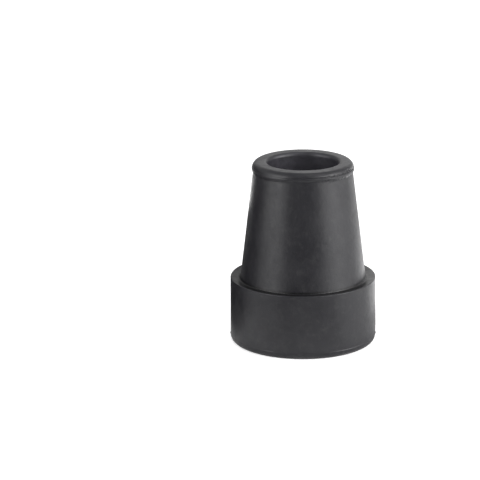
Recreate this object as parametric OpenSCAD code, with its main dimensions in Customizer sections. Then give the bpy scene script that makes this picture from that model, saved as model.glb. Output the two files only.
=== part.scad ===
// Push-on rubber tip for a walking cane.
// One moulded solid of revolution: a broad foot with a ringed tread, a tapered
// neck, a rolled lip at the mouth and a blind socket for the cane.
// Origin: centre of the tread, +Z along the axis towards the mouth. Millimetres.

/* [Foot] */
// Radius of the foot just above the tread edge
foot_r = 19.6; // [18.5:0.1:21]
// Radius of the foot at its top edge
foot_top_r = 19.6; // [19.3:0.1:21]
// Height of the foot, from the tread to the ledge
foot_h = 17.8; // [16:0.1:22]
// Rounding of the edge between the tread and the foot's side
tread_edge_r = 1.5; // [0.6:0.1:1.6]
// Rounding of the foot's top edge
top_edge_r = 0.2; // [0.2:0.1:0.8]
// How far the ledge falls from its outer edge to the neck
ledge_dip = 0.3; // [0:0.1:0.5]
// Height of the mould's parting line above the tread
parting_z = 1.8; // [1.8:0.1:4]
// How far the parting line stands proud
parting_proud = 0.2; // [0.05:0.05:0.3]

/* [Tread] */
// Outer radius of the outer ring groove
outer_groove_out_r = 14.5; // [14:0.1:16]
// Inner radius of the outer ring groove
outer_groove_in_r = 11.3; // [10.6:0.1:12]
// Outer radius of the inner ring groove
inner_groove_out_r = 7.8; // [7:0.1:8.6]
// Inner radius of the inner ring groove
inner_groove_in_r = 5.1; // [3.6:0.1:5.6]
// Depth of both grooves
groove_depth = 4.5; // [1.5:0.1:6]
// Rounding of the grooves' upper edges
groove_edge_r = 0.25; // [0.1:0.05:0.4]
// Fillet at the bottom of the grooves
groove_fillet_r = 0.4; // [0.1:0.1:0.6]

/* [Neck] */
// Radius of the tapered neck where it meets the ledge
neck_base_r = 16.9; // [15.5:0.05:17.2]
// Radius of the neck just under the lip
neck_top_r = 13.5; // [13.2:0.05:15]
// Height of the point where the taper runs out under the lip
neck_top_z = 46.4; // [42:0.1:46.8]
// Fillet between the ledge and the neck
neck_fillet_r = 0.4; // [0.2:0.1:1]

/* [Lip] */
// Overall height, tread to mouth
height = 49.8; // [49.7:0.1:55]
// Outer radius of the lip
lip_r = 13.75; // [13.6:0.05:15]
// Height of the lip's rolled top above its widest point
lip_crown_h = 2.0; // [1.7:0.1:2.4]
// Radial width of the lip's rolled top
lip_crown_w = 1.6; // [1:0.1:2]
// Distance of the crease round the lip below the mouth
crease_drop = 1.4; // [1:0.1:1.8]
// Depth of the crease round the lip
crease_depth = 0.15; // [0.05:0.05:0.3]
// Height of the crease's opening
crease_w = 0.3; // [0.2:0.05:0.4]
// Rounding of the lip into the socket
mouth_round_r = 1.0; // [0.4:0.1:1.2]

/* [Socket] */
// Radius of the socket, a push fit on a 19 mm cane
bore_r = 9.2; // [7:0.05:9.6]
// Height of the socket's floor above the tread
bore_floor_z = 14; // [8:0.5:30]
// Fillet between the socket's wall and its floor
bore_fillet_r = 0.8; // [0.2:0.1:2]

/* [Quality] */
// Facets around the full turn
facets = 144; // [48:12:240]

/* [Hidden] */
steps = 8;
neck_z = foot_h - ledge_dip;
taper = atan((neck_base_r - neck_top_r) / (neck_top_z - neck_z));
lip_z = height - lip_crown_h;
crease_z = height - crease_drop;

// Points of an arc about (cx, cz), with its own radius along each axis.
function arc(cx, cz, rx, rz, from, to, n = steps) =
    [for (i = [0 : n]) let (a = from + (to - from) * i / n) [cx + rx * cos(a), cz + rz * sin(a)]];

// A ring groove cut into the tread, from its inner edge to its outer edge.
function groove(r_in, r_out) = concat(
    arc(r_in - groove_edge_r, groove_edge_r, groove_edge_r, groove_edge_r, -90, 0, 3),
    arc(r_in + groove_fillet_r, groove_depth - groove_fillet_r, groove_fillet_r, groove_fillet_r, 180, 90, 3),
    arc(r_out - groove_fillet_r, groove_depth - groove_fillet_r, groove_fillet_r, groove_fillet_r, 90, 0, 3),
    arc(r_out + groove_edge_r, groove_edge_r, groove_edge_r, groove_edge_r, 180, 270, 3));

// The tread edge, the parting line, the foot's side and its top edge.
function foot_side() = concat(
    arc(foot_r - tread_edge_r, tread_edge_r, tread_edge_r, tread_edge_r, -90, 0),
    [[foot_r, parting_z - 0.2], [foot_r + parting_proud, parting_z - 0.05],
     [foot_r + parting_proud, parting_z + 0.05], [foot_r, parting_z + 0.2]],
    arc(foot_top_r - top_edge_r, foot_h - top_edge_r, top_edge_r, top_edge_r, 0, 90, 4));

// The fillet on the ledge, tangent to it and to the tapered neck.
function neck_fillet() = arc(
    neck_base_r + neck_fillet_r * (1 - sin(taper)) / cos(taper), neck_z + neck_fillet_r,
    neck_fillet_r, neck_fillet_r, 270, 180 + taper, 5);

// Angle on the lip's rolled top at a height, and its radius there.
function crown_angle(z) = asin((z - lip_z) / lip_crown_h);
function crown_r(z) = lip_r - lip_crown_w * (1 - cos(crown_angle(z)));

// The top of the neck, the lip's rolled side with its crease, and its top.
function lip() = concat(
    [[neck_top_r, neck_top_z], [lip_r, lip_z - 0.2]],
    arc(lip_r - lip_crown_w, lip_z, lip_crown_w, lip_crown_h,
        0, crown_angle(crease_z - crease_w / 2), 3),
    [[crown_r(crease_z) - crease_depth, crease_z]],
    arc(lip_r - lip_crown_w, lip_z, lip_crown_w, lip_crown_h,
        crown_angle(crease_z + crease_w / 2), 90));

// The rounded mouth, the socket's wall and its floor, down to the axis.
function socket() = concat(
    arc(bore_r + mouth_round_r, height - mouth_round_r, mouth_round_r, mouth_round_r, 90, 180),
    arc(bore_r - bore_fillet_r, bore_floor_z + bore_fillet_r, bore_fillet_r, bore_fillet_r, 0, -90, 4),
    [[0, bore_floor_z]]);

module ferrule() {
    color([0.11, 0.11, 0.12])
    rotate_extrude($fn = facets)
    polygon(concat(
        [[0, 0]],
        groove(inner_groove_in_r, inner_groove_out_r),
        groove(outer_groove_in_r, outer_groove_out_r),
        foot_side(),
        neck_fillet(),
        lip(),
        socket()));
}

ferrule();
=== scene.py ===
import math

import bpy
from mathutils import Matrix, Vector, noise


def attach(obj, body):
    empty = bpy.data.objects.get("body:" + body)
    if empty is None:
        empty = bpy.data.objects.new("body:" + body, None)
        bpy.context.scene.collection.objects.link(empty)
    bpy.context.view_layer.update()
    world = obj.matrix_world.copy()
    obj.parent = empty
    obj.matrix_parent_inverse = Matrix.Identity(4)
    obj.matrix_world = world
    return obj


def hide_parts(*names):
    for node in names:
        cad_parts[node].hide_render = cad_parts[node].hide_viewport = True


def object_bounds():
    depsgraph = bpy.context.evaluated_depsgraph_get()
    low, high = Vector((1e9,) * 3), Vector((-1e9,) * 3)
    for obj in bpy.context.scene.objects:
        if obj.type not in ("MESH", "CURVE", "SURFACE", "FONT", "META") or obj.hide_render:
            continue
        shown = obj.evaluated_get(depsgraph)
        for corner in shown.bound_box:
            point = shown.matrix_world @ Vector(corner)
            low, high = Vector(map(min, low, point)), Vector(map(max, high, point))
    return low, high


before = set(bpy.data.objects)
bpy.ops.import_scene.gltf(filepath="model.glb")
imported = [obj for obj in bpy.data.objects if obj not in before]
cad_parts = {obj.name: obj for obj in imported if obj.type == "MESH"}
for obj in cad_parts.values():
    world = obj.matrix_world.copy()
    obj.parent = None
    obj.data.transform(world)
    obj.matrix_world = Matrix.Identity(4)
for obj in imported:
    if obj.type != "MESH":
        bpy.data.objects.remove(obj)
cad_lo, cad_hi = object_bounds()

MM = 0.001
SEG = 400

# ---------------------------------------------------------------------------
# The moulded body: one closed surface turned from the same section as the CAD
# part, with finer roundings, the ragged parting lines and the slight
# unevenness of moulded rubber.
# ---------------------------------------------------------------------------

FOOT_R, FOOT_TOP_R, FOOT_H = 19.6, 19.6, 17.8
TREAD_EDGE, TOP_EDGE, LEDGE_DIP = 1.5, 0.2, 0.3
PART_Z, PART_MAX = 1.8, 0.2
G1_OUT, G1_IN, G2_OUT, G2_IN = 14.5, 11.3, 7.8, 5.1
G_DEPTH, G_EDGE, G_FILLET = 4.5, 0.25, 0.4
NECK_R, NECK_TOP_R, NECK_TOP_Z, NECK_FILLET = 16.9, 13.5, 46.4, 0.4
HEIGHT, LIP_R, CROWN_H, CROWN_W = 49.8, 13.75, 2.0, 1.6
MOUTH_ROUND = 1.0
BORE_R, BORE_FLOOR, BORE_FILLET = 9.2, 14.0, 0.8
LIP_Z = HEIGHT - CROWN_H
CREASE_Z = HEIGHT - 1.4
NECK_Z = FOOT_H - LEDGE_DIP
TAPER = math.atan((NECK_R - NECK_TOP_R) / (NECK_TOP_Z - NECK_Z))


def arc(cx, cz, rx, rz, a0, a1, n):
    out = []
    for i in range(n + 1):
        a = math.radians(a0 + (a1 - a0) * i / n)
        out.append((cx + rx * math.cos(a), cz + rz * math.sin(a)))
    return out


def line(p, q, n):
    """Points between p and q, without the ends."""
    return [(p[0] + (q[0] - p[0]) * i / (n + 1), p[1] + (q[1] - p[1]) * i / (n + 1)) for i in range(1, n + 1)]


def groove(r_in, r_out):
    e, f, d = G_EDGE, G_FILLET, G_DEPTH
    pts = arc(r_in - e, e, e, e, -90, 0, 5)
    pts += [(r_in, e + 0.1)] + line((r_in, e), (r_in, d - f), 3) + [(r_in, d - f - 0.1)]
    pts += arc(r_in + f, d - f, f, f, 180, 90, 5)
    pts += line((r_in + f, d), (r_out - f, d), 2)
    pts += arc(r_out - f, d - f, f, f, 90, 0, 5)
    pts += [(r_out, d - f - 0.1)] + line((r_out, d - f), (r_out, e), 3) + [(r_out, e + 0.1)]
    pts += arc(r_out + e, e, e, e, 180, 270, 5)
    return pts


def smooth(a, b, x):
    t = max(0.0, min(1.0, (x - a) / (b - a)))
    return t * t * (3 - 2 * t)


def near(th, centre, half):
    """1 at an angle, falling to 0 at half degrees from it."""
    d = abs((math.degrees(th) - centre + 180) % 360 - 180)
    return max(0.0, 1 - d / half) ** 2 * (1 + 2 * d / half) if d < half else 0.0


def crown_r(z):
    """Radius of the lip's rolled side at a height."""
    return LIP_R - CROWN_W * (1 - math.sqrt(max(0.0, 1 - ((z - LIP_Z) / CROWN_H) ** 2)))


def ragged(th, freq, seed):
    """Noise round the axis, from -1 to 1."""
    return noise.noise(Vector((math.cos(th) * freq, math.sin(th) * freq, seed)))


def section(th):
    """Points of the section at one angle, from the tread's centre to the socket's floor, in millimetres."""
    # parting line of the foot
    proud = 0.045 + 0.035 * ragged(th, 6, 3.1) + 0.02 * ragged(th, 40, 8.7)
    proud += 0.05 * near(th, -45, 30) + 0.14 * near(th, -2, 7) + 0.12 * near(th, 182, 6) + 0.05 * near(th, -118, 5)
    proud = max(0.005, min(PART_MAX - 0.01, proud))
    pz = PART_Z + 0.06 * ragged(th, 2.2, 5.5)
    # crease and flash under the lip
    tag = near(th, -66, 9) + near(th, -24, 18) + 0.5 * near(th, 178, 12) + 0.6 * near(th, 95, 20)
    depth = 0.13 + 0.04 * ragged(th, 3, 1.4) + 0.04 * ragged(th, 30, 2.2) * (1 + 2 * tag)
    depth = max(0.02, depth * (1 - 0.75 * near(th, -128, 36)) + 0.13 * near(th, -58, 48) * (1 + 0.5 * ragged(th, 22, 3.3)))
    # small pits where the flash was pulled off
    pit = 0.34 * max(0.0, ragged(th, 30, 12.3) + 0.25) * (near(th, -63, 9) + 0.5 * near(th, -100, 9))
    pit2 = 0.34 * max(0.0, ragged(th, 28, 4.6) + 0.15) * near(th, -27, 15)
    cz = CREASE_Z + 0.12 * near(th, -80, 40) + 0.05 * ragged(th, 2.5, 9.1) + 0.05 * ragged(th, 26, 6.2) * (0.3 + tag)
    flash = min(0.1, 0.05 * tag * (1 + ragged(th, 34, 7.7)))
    lz = HEIGHT - CROWN_H
    pts = [(0.0, 0.0)] + line((0, 0), (G2_IN - G_EDGE, 0), 4) + [(G2_IN - G_EDGE - 0.1, 0.0)]
    pts += groove(G2_IN, G2_OUT)
    pts += [(G2_OUT + G_EDGE + 0.1, 0.0)] + line((G2_OUT, 0), (G1_IN, 0), 2) + [(G1_IN - G_EDGE - 0.1, 0.0)]
    pts += groove(G1_IN, G1_OUT)
    pts += [(G1_OUT + G_EDGE + 0.1, 0.0)] + line((G1_OUT, 0), (FOOT_R - TREAD_EDGE, 0), 3) + [(FOOT_R - TREAD_EDGE - 0.1, 0.0)]
    pts += arc(FOOT_R - TREAD_EDGE, TREAD_EDGE, TREAD_EDGE, TREAD_EDGE, -90, 0, 12)
    pts += [(FOOT_R, pz - 0.17), (FOOT_R + proud * 0.75, pz - 0.06), (FOOT_R + proud, pz), (FOOT_R + proud * 0.6, pz + 0.07),
            (FOOT_R + 0.005, pz + 0.16), (FOOT_R + 0.005, pz + 0.32)]
    side = line((FOOT_R, PART_Z + 0.2), (FOOT_TOP_R, FOOT_H - TOP_EDGE), 12)
    pts += side + [(FOOT_TOP_R, FOOT_H - TOP_EDGE - 0.1)]
    pts += arc(FOOT_TOP_R - TOP_EDGE, FOOT_H - TOP_EDGE, TOP_EDGE, TOP_EDGE, 0, 90, 7)
    fx = NECK_R + NECK_FILLET * (1 - math.sin(TAPER)) / math.cos(TAPER)
    pts += [(FOOT_TOP_R - TOP_EDGE - 0.1, FOOT_H)] + line((FOOT_TOP_R - TOP_EDGE - 0.1, FOOT_H), (fx + 0.12, NECK_Z), 3)
    pts += [(fx + 0.12, NECK_Z)]
    fil = arc(fx, NECK_Z + NECK_FILLET, NECK_FILLET, NECK_FILLET, 270, 180 + math.degrees(TAPER), 8)
    pts += fil
    end = fil[-1]
    pts += [(end[0] - 0.1 * math.sin(TAPER), end[1] + 0.1 * math.cos(TAPER))]
    # taper, then the last millimetres swell out to the lip's widest point
    for i in range(1, 23):
        z = end[1] + (NECK_TOP_Z - end[1]) * i / 22
        pts.append((NECK_R - (z - NECK_Z) * math.tan(TAPER), z))
    # the lip's lower edge runs higher at the front
    z1 = LIP_Z - 0.1 + 0.5 * near(th, -88, 62)
    z0 = z1 - 0.85
    r1 = NECK_TOP_R - (z0 - NECK_TOP_Z) * math.tan(TAPER)
    pts += line((NECK_TOP_R, NECK_TOP_Z), (r1, z0), 3) + [(r1, z0)]
    for i in range(1, 9):
        t = i / 8
        z = z0 + (z1 - z0) * t
        straight = r1 - (z - z0) * math.tan(TAPER)
        pts.append((straight + (crown_r(z1) - 0.01 - straight) * smooth(0, 1, t) - pit * near(math.radians(t * 90), 52, 42), z))
    # the lip's side up to the crease, the crease, and the rolled top
    w = 1 + 0.8 * near(th, -52, 50)
    cz = max(cz, z1 + 0.12 + 0.16 * w)
    for i in range(1, 5):
        z = z1 + (cz - 0.08 - 0.14 * w - z1) * i / 4
        pts.append((crown_r(z) + flash * smooth(1, 4, i), z))
    base = crown_r(cz)
    pts += [(base + 0.02 + flash, cz - 0.14 * w), (base - depth * 0.7, cz - 0.05 * w), (base - depth, cz), (base - depth * 0.75, cz + 0.05 * w),
            (crown_r(cz + 0.13 * w) - 0.015, cz + 0.13 * w)]
    a0 = math.degrees(math.asin((cz + 0.07 + 0.13 * w - lz) / CROWN_H))
    crown = arc(LIP_R - CROWN_W, lz, CROWN_W, CROWN_H, a0, 90, 20)
    pts += [(r - pit2 * smooth(0, 2, i) * (1 - smooth(3, 6, i)), z) for i, (r, z) in enumerate(crown)]
    top = LIP_R - CROWN_W
    pts += line((top, HEIGHT), (BORE_R + MOUTH_ROUND, HEIGHT), 3)
    pts += arc(BORE_R + MOUTH_ROUND, HEIGHT - MOUTH_ROUND, MOUTH_ROUND, MOUTH_ROUND, 90, 180, 14)
    pts += [(BORE_R, HEIGHT - MOUTH_ROUND - 0.12)]
    pts += line((BORE_R, HEIGHT - MOUTH_ROUND - 0.12), (BORE_R, BORE_FLOOR + BORE_FILLET), 12)
    pts += arc(BORE_R - BORE_FILLET, BORE_FLOOR + BORE_FILLET, BORE_FILLET, BORE_FILLET, 0, -90, 7)
    pts += line((BORE_R - BORE_FILLET, BORE_FLOOR), (0, BORE_FLOOR), 3) + [(0.0, BORE_FLOOR)]
    return pts


def uneven(x, y, z, r):
    """Slow unevenness of the moulding, in millimetres along the radius."""
    if r < 12.4 and z > 15:
        # the soft mouth is a little oval
        return (0.35 * math.cos(2 * math.atan2(y, x)) - 0.05) * (1 - smooth(10.0, 12.4, r)) * smooth(20, 44, z)
    if r < 12.4 or z < 2.4:
        return 0.0
    v = Vector((x, y, z))
    slow = 0.022 * noise.noise(v * 0.13 + Vector((3.7, 1.2, 8.8))) + 0.009 * noise.noise(v * 0.42)
    bulge = 0.12 * near(math.atan2(y, x), -8, 70) * (1 - smooth(3.0, 13.0, z)) if z < FOOT_H else 0.0
    # the neck flares out a little just above the ledge
    flare = 0.15 * max(0.0, 1 - max(0.0, z - 17.9) / 3.5) ** 2 * (1 - smooth(17.3, 18.3, r)) if z > 17.2 else 0.0
    return (slow + bulge + flare) * smooth(2.4, 4.0, z)


def build_body():
    rings = [section(2 * math.pi * k / SEG) for k in range(SEG)]
    n = len(rings[0])
    verts = [(0.0, 0.0, 0.0)]
    for k, pts in enumerate(rings):
        th = 2 * math.pi * k / SEG
        c, s = math.cos(th), math.sin(th)
        for r, z in pts[1:-1]:
            d = uneven(r * c, r * s, z, r)
            rr = min(r + d, cad_hi.x / MM - 0.002)
            verts.append((rr * c * MM, rr * s * MM, z * MM))
    verts.append((0.0, 0.0, BORE_FLOOR * MM))
    m = n - 2
    last = len(verts) - 1
    faces = []
    for k in range(SEG):
        a, b = 1 + k * m, 1 + ((k + 1) % SEG) * m
        faces.append((0, b, a))
        for i in range(m - 1):
            faces.append((a + i, b + i, b + i + 1, a + i + 1))
        faces.append((last, a + m - 1, b + m - 1))
    mesh = bpy.data.meshes.new("ferrule_body")
    mesh.from_pydata(verts, [], faces)
    mesh.validate()
    mesh.update()
    for p in mesh.polygons:
        p.use_smooth = True
    ob = bpy.data.objects.new("ferrule_body", mesh)
    bpy.context.scene.collection.objects.link(ob)
    return ob


body = build_body()

# ---------------------------------------------------------------------------
# Black moulded rubber
# ---------------------------------------------------------------------------


def rubber():
    mat = bpy.data.materials.new("moulded_rubber")
    mat.use_nodes = True
    nt = mat.node_tree
    nt.nodes.clear()
    N, L = nt.nodes.new, nt.links.new
    out = N("ShaderNodeOutputMaterial")
    bsdf = N("ShaderNodeBsdfPrincipled")
    L(bsdf.outputs["BSDF"], out.inputs["Surface"])
    bsdf.inputs["IOR"].default_value = 1.5
    bsdf.inputs["Specular IOR Level"].default_value = 0.5
    tc = N("ShaderNodeTexCoord")

    def tex(scale, detail, rough, distortion=0.0, where=(0, 0, 0), size=(1, 1, 1)):
        mp = N("ShaderNodeMapping")
        mp.inputs["Location"].default_value = where
        mp.inputs["Scale"].default_value = size
        L(tc.outputs["Object"], mp.inputs["Vector"])
        t = N("ShaderNodeTexNoise")
        t.inputs["Scale"].default_value = scale
        t.inputs["Detail"].default_value = detail
        t.inputs["Roughness"].default_value = rough
        t.inputs["Distortion"].default_value = distortion
        L(mp.outputs["Vector"], t.inputs["Vector"])
        return t.outputs["Fac"]

    def ramp(src, lo, hi, a, b):
        r = N("ShaderNodeMapRange")
        r.inputs["From Min"].default_value = lo
        r.inputs["From Max"].default_value = hi
        r.inputs["To Min"].default_value = a
        r.inputs["To Max"].default_value = b
        L(src, r.inputs["Value"])
        return r.outputs["Result"]

    def calc(op, a, b):
        n = N("ShaderNodeMath")
        n.operation = op
        for k, v in enumerate((a, b)):
            if isinstance(v, (int, float)):
                n.inputs[k].default_value = v
            else:
                L(v, n.inputs[k])
        return n.outputs["Value"]

    # colour: carbon black with a faint dull bloom in patches
    patches = tex(170, 5, 0.6, 0.4)
    bloom = tex(620, 4, 0.65, 0.2, (0.3, 0.1, 0.7))
    mix1 = N("ShaderNodeMix")
    mix1.data_type = "RGBA"
    L(ramp(patches, 0.35, 0.68, 0.0, 1.0), mix1.inputs["Factor"])
    mix1.inputs["A"].default_value = (0.0140, 0.0137, 0.0168, 1)
    mix1.inputs["B"].default_value = (0.0210, 0.0206, 0.0238, 1)
    mix2 = N("ShaderNodeMix")
    mix2.data_type = "RGBA"
    L(ramp(bloom, 0.52, 0.78, 0.0, 0.45), mix2.inputs["Factor"])
    L(mix1.outputs["Result"], mix2.inputs["A"])
    mix2.inputs["B"].default_value = (0.040, 0.0395, 0.040, 1)
    # mould dust left inside the socket, partly painted light: the dust is laid heavier towards the left and right of
    # the socket than in the middle, as light falls in through the mouth
    sep = N("ShaderNodeSeparateXYZ")
    L(tc.outputs["Object"], sep.inputs["Vector"])

    rad = calc("SQRT", calc("ADD", calc("MULTIPLY", sep.outputs["X"], sep.outputs["X"]), calc("MULTIPLY", sep.outputs["Y"], sep.outputs["Y"])), 0.0)
    inside = calc("MULTIPLY", ramp(rad, 0.0092, 0.0098, 1.0, 0.0), ramp(sep.outputs["Z"], 0.012, 0.0135, 0.0, 1.0))
    dust_and_painted_light = calc("MULTIPLY", inside, ramp(tex(330, 5, 0.6, 0.3, (0.6, 0.2, 0.9), (1, 1, 2.5)), 0.3, 0.7, 0.15, 0.85))
    # painted light: the dust is heaviest towards the left wall, least in the middle, and heavier again towards the
    # right
    dust_and_painted_light = calc("MULTIPLY", dust_and_painted_light, calc("ADD", ramp(sep.outputs["X"], -0.009, 0.001, 1.6, 0.65), ramp(sep.outputs["X"], 0.002, 0.009, 0.0, 0.6)))
    mix3 = N("ShaderNodeMix")
    mix3.data_type = "RGBA"
    L(dust_and_painted_light, mix3.inputs["Factor"])
    L(mix2.outputs["Result"], mix3.inputs["A"])
    mix3.inputs["B"].default_value = (0.052, 0.050, 0.060, 1)
    # painted shade: the ledge round the foot of the neck and the bottom of the neck get a blacker base colour, as shade
    # for that recess
    ledge = calc("MULTIPLY", calc("MULTIPLY", ramp(sep.outputs["Z"], 0.0171, 0.0174, 0.0, 1.0), ramp(sep.outputs["Z"], 0.0179, 0.0184, 1.0, 0.0)),
                 ramp(rad, 0.0190, 0.0194, 1.0, 0.0))
    ledge_shade_mix = N("ShaderNodeMix")
    ledge_shade_mix.data_type = "RGBA"
    L(ledge, ledge_shade_mix.inputs["Factor"])
    L(mix3.outputs["Result"], ledge_shade_mix.inputs["A"])
    ledge_shade_mix.inputs["B"].default_value = (0.0055, 0.0054, 0.0065, 1)
    L(ledge_shade_mix.outputs["Result"], bsdf.inputs["Base Color"])

    # roughness: semi-matt, a little uneven
    rr = tex(240, 6, 0.62, 0.6, (0.9, 0.4, 0.2))
    smudge = tex(560, 4, 0.6, 0.8, (0.1, 0.8, 0.5))
    rough = calc("ADD", ramp(rr, 0.3, 0.72, 0.34, 0.46), ramp(smudge, 0.35, 0.7, -0.03, 0.05))
    # dull scars under the lip where the flash was pulled off
    band = calc("MULTIPLY", ramp(sep.outputs["Z"], 0.0466, 0.0471, 0.0, 1.0), ramp(sep.outputs["Z"], 0.0488, 0.0492, 1.0, 0.0))
    side = calc("MULTIPLY", ramp(sep.outputs["X"], 0.003, 0.0065, 0.0, 1.0), ramp(sep.outputs["Y"], -0.003, 0.0, 1.0, 0.0))
    scar = calc("MULTIPLY", calc("MULTIPLY", band, side), ramp(tex(1150, 3, 0.6, 0.5, (0.4, 0.6, 0.2)), 0.52, 0.60, 0.0, 0.42))
    L(calc("ADD", rough, scar), bsdf.inputs["Roughness"])

    # relief: fine mould grain over a soft orange-peel
    fine = tex(5200, 3, 0.6)
    soft = tex(900, 3, 0.5, 0.1, (0.2, 0.5, 0.1))
    b1 = N("ShaderNodeBump")
    b1.inputs["Strength"].default_value = 0.35
    b1.inputs["Distance"].default_value = 0.00002
    L(fine, b1.inputs["Height"])
    b2 = N("ShaderNodeBump")
    b2.inputs["Strength"].default_value = 0.5
    b2.inputs["Distance"].default_value = 0.00006
    L(soft, b2.inputs["Height"])
    L(b1.outputs["Normal"], b2.inputs["Normal"])
    L(b2.outputs["Normal"], bsdf.inputs["Normal"])
    return mat


mat = rubber()
body.data.materials.append(mat)
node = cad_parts["ferrule"]
node.data.materials.clear()
node.data.materials.append(mat)
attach(body, "root")
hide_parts("ferrule")

# ---------------------------------------------------------------------------
# Camera
# ---------------------------------------------------------------------------

CAM_D, CAM_H, CAM_YAW, CAM_PITCH, CAM_ROLL, CAM_F = 900.0, 290.911, 0.018857, 0.284411, 0.0054, 3477.0
cam_data = bpy.data.cameras.new("camera")
cam = bpy.data.objects.new("camera", cam_data)
bpy.context.scene.collection.objects.link(cam)
cam.location = (0, -CAM_D * MM, CAM_H * MM)
look = Matrix.Rotation(CAM_YAW, 3, "Z") @ Matrix.Rotation(math.pi / 2 - CAM_PITCH, 3, "X") @ Matrix.Rotation(-CAM_ROLL, 3, "Z")
cam.rotation_euler = look.to_euler()
cam_data.sensor_width = 36
cam_data.lens = CAM_F * 36 / 480
cam_data.clip_start = 0.05
cam_data.clip_end = 20
bpy.context.scene.camera = cam

# ---------------------------------------------------------------------------
# Stage: pale floor, white surroundings, soft boxes and flags
# ---------------------------------------------------------------------------


def emission(name, strength):
    m = bpy.data.materials.new(name)
    m.use_nodes = True
    nt = m.node_tree
    nt.nodes.clear()
    o = nt.nodes.new("ShaderNodeOutputMaterial")
    e = nt.nodes.new("ShaderNodeEmission")
    e.inputs["Color"].default_value = (1, 1, 1, 1)
    e.inputs["Strength"].default_value = strength
    nt.links.new(e.outputs["Emission"], o.inputs["Surface"])
    return m


def stage_card(name, verts, faces, strength, diffuse, glossy):
    """A soft box or a flag, out of the camera's sight."""
    me = bpy.data.meshes.new(name)
    me.from_pydata(verts, [], faces)
    me.materials.append(emission(name, strength))
    o = bpy.data.objects.new(name, me)
    bpy.context.scene.collection.objects.link(o)
    o.visible_camera = False
    o.visible_diffuse = diffuse
    o.visible_glossy = glossy
    o.visible_shadow = False
    o.visible_transmission = False
    o.visible_volume_scatter = False
    return o


def arc_card(name, az0, az1, dist, z0, z1, strength, diffuse=True, glossy=True, n=12):
    """An upright curved card. Azimuth 0 is towards the camera and positive to the right, in degrees."""
    verts, faces = [], []
    for i in range(n + 1):
        a = math.radians(az0 + (az1 - az0) * i / n)
        x, y = dist * math.sin(a), -dist * math.cos(a)
        verts += [(x, y, z0), (x, y, z1)]
    for i in range(n):
        faces.append((2 * i, 2 * i + 2, 2 * i + 3, 2 * i + 1))
    return stage_card(name, verts, faces, strength, diffuse, glossy)


def flat_card(name, corners, strength, diffuse=True, glossy=True):
    return stage_card(name, corners, [(0, 1, 2, 3)], strength, diffuse, glossy)


def floor_flag(name, az0, az1, r0, r1, strength, n=12):
    """A dark card lying just above the floor, seen by reflections only."""
    verts, faces = [], []
    for i in range(n + 1):
        a = math.radians(az0 + (az1 - az0) * i / n)
        verts += [(r0 * math.sin(a), -r0 * math.cos(a), 0.0006), (r1 * math.sin(a), -r1 * math.cos(a), 0.0006)]
    for i in range(n):
        faces.append((2 * i, 2 * i + 1, 2 * i + 3, 2 * i + 2))
    return stage_card(name, verts, faces, strength, False, True)


FLOOR = 3.0
floor_me = bpy.data.meshes.new("floor")
floor_me.from_pydata([(-FLOOR, -FLOOR, 0), (FLOOR, -FLOOR, 0), (FLOOR, FLOOR, 0), (-FLOOR, FLOOR, 0)], [], [(0, 1, 2, 3)])
fm = bpy.data.materials.new("floor")
fm.use_nodes = True
fb = fm.node_tree.nodes["Principled BSDF"]
fb.inputs["Base Color"].default_value = (0.92, 0.92, 0.92, 1)
fb.inputs["Roughness"].default_value = 1.0
fb.inputs["Specular IOR Level"].default_value = 0.0
fb.inputs["Emission Color"].default_value = (1, 1, 1, 1)
flp = fm.node_tree.nodes.new("ShaderNodeLightPath")
fmr = fm.node_tree.nodes.new("ShaderNodeMapRange")
fmr.inputs["To Max"].default_value = 0.55
fm.node_tree.links.new(flp.outputs["Is Camera Ray"], fmr.inputs["Value"])
fm.node_tree.links.new(fmr.outputs["Result"], fb.inputs["Emission Strength"])
floor_me.materials.append(fm)
floor = bpy.data.objects.new("floor", floor_me)
bpy.context.scene.collection.objects.link(floor)

# white surroundings, dimmer as a light than as a background
AMBIENT = 0.47
world = bpy.data.worlds.new("world")
world.use_nodes = True
wt = world.node_tree
bg = wt.nodes["Background"]
bg.inputs["Color"].default_value = (1, 1, 1, 1)
lp = wt.nodes.new("ShaderNodeLightPath")
wm = wt.nodes.new("ShaderNodeMapRange")
wm.inputs["To Min"].default_value = AMBIENT
wm.inputs["To Max"].default_value = 1.0
wt.links.new(lp.outputs["Is Camera Ray"], wm.inputs["Value"])
wt.links.new(wm.outputs["Result"], bg.inputs["Strength"])
bpy.context.scene.world = world

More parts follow.
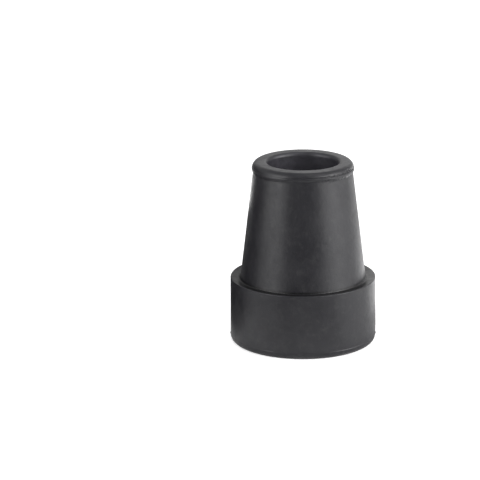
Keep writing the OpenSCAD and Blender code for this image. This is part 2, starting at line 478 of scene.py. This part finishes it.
lights = [
    arc_card("left_outer_low", -84, -62, 0.32, 0.002, 0.17, 1.8),
    arc_card("left_outer_high", -84, -62, 0.32, 0.17, 0.30, 2.7),
    arc_card("left_inner_low", -62, -40, 0.32, 0.002, 0.08, 2.6),
    arc_card("left_inner_high", -62, -40, 0.32, 0.08, 0.30, 4.2),
    arc_card("right_inner_low", 40, 60, 0.32, 0.002, 0.08, 2.1),
    arc_card("right_inner_high", 40, 60, 0.32, 0.08, 0.30, 5.6),
    arc_card("right_mid_low", 60, 80, 0.32, 0.002, 0.08, 3.2),
    arc_card("right_mid_high", 60, 80, 0.32, 0.08, 0.30, 6.0),
    arc_card("right_outer_low", 80, 100, 0.32, 0.002, 0.17, 2.2),
    arc_card("right_outer_high", 80, 100, 0.32, 0.17, 0.30, 3.6),
    arc_card("right_edge", 100, 125, 0.32, 0.002, 0.08, 0.45),
    arc_card("back_strip", 129, 152, 0.55, 0.0, 0.06, 7.4),
    arc_card("back_right", 152, 180, 0.55, 0.16, 0.42, 1.25),
    arc_card("back_left", -180, -152, 0.55, 0.16, 0.42, 0.8),
    arc_card("back_glow", 150, 205, 0.60, 0.0, 0.09, 1.3, diffuse=False),
    arc_card("fill_front", -20, 30, 0.5, 0.2, 0.7, 1.8, glossy=False),
    flat_card("top_right", [(0.05, -0.2, 0.6), (0.35, -0.2, 0.6), (0.35, 0.05, 0.6), (0.05, 0.05, 0.6)], 1.3),
]
arc_card("front_flag", -38, 40, 0.20, 0.002, 0.5, 0.0, diffuse=False)
flat_card("left_flag", [(-0.050, -0.012, 0.0), (-0.022, 0.052, 0.0), (-0.022, 0.052, 0.023), (-0.050, -0.012, 0.042)], 0.0, diffuse=False)
flat_card("left_ledge_flag", [(-0.024, 0.050, 0.031), (-0.006, 0.085, 0.034), (-0.006, 0.085, 0.058), (-0.024, 0.050, 0.051)], 0.1, diffuse=False)
flat_card("right_ledge_box", [(0.006, 0.085, 0.028), (0.024, 0.050, 0.026), (0.024, 0.050, 0.046), (0.006, 0.085, 0.052)], 1.33, diffuse=False)
arc_card("left_back_flag", -155, -86, 0.20, 0.002, 0.10, 0.0, diffuse=False)
floor_flag("front_floor_flag", -50, 50, 0.058, 0.20, 0.03)
floor_flag("left_floor_flag", -108, -50, 0.050, 0.20, 0.5)
floor_flag("right_back_floor", 112, 178, 0.040, 0.13, 2.2)
floor_flag("left_back_floor_flag", -145, -108, 0.030, 0.20, 0.0)
floor_flag("left_rim_floor_flag", -176, -145, 0.030, 0.145, 0.0)
floor_flag("left_rim_floor", -178, -143, 0.147, 0.24, 4.4)
floor_flag("left_near_floor_flag", -125, -85, 0.026, 0.050, 0.15)
floor_flag("front_near_floor_flag", -50, 50, 0.026, 0.058, 0.75)
floor_flag("tread_floor_flag", -60, 130, 0.0198, 0.0235, 0.5, n=24)

sc = bpy.context.scene
sc.view_settings.view_transform = "Standard"
sc.view_settings.look = "None"
sc.view_settings.exposure = 0.0
sc.view_settings.gamma = 1.0
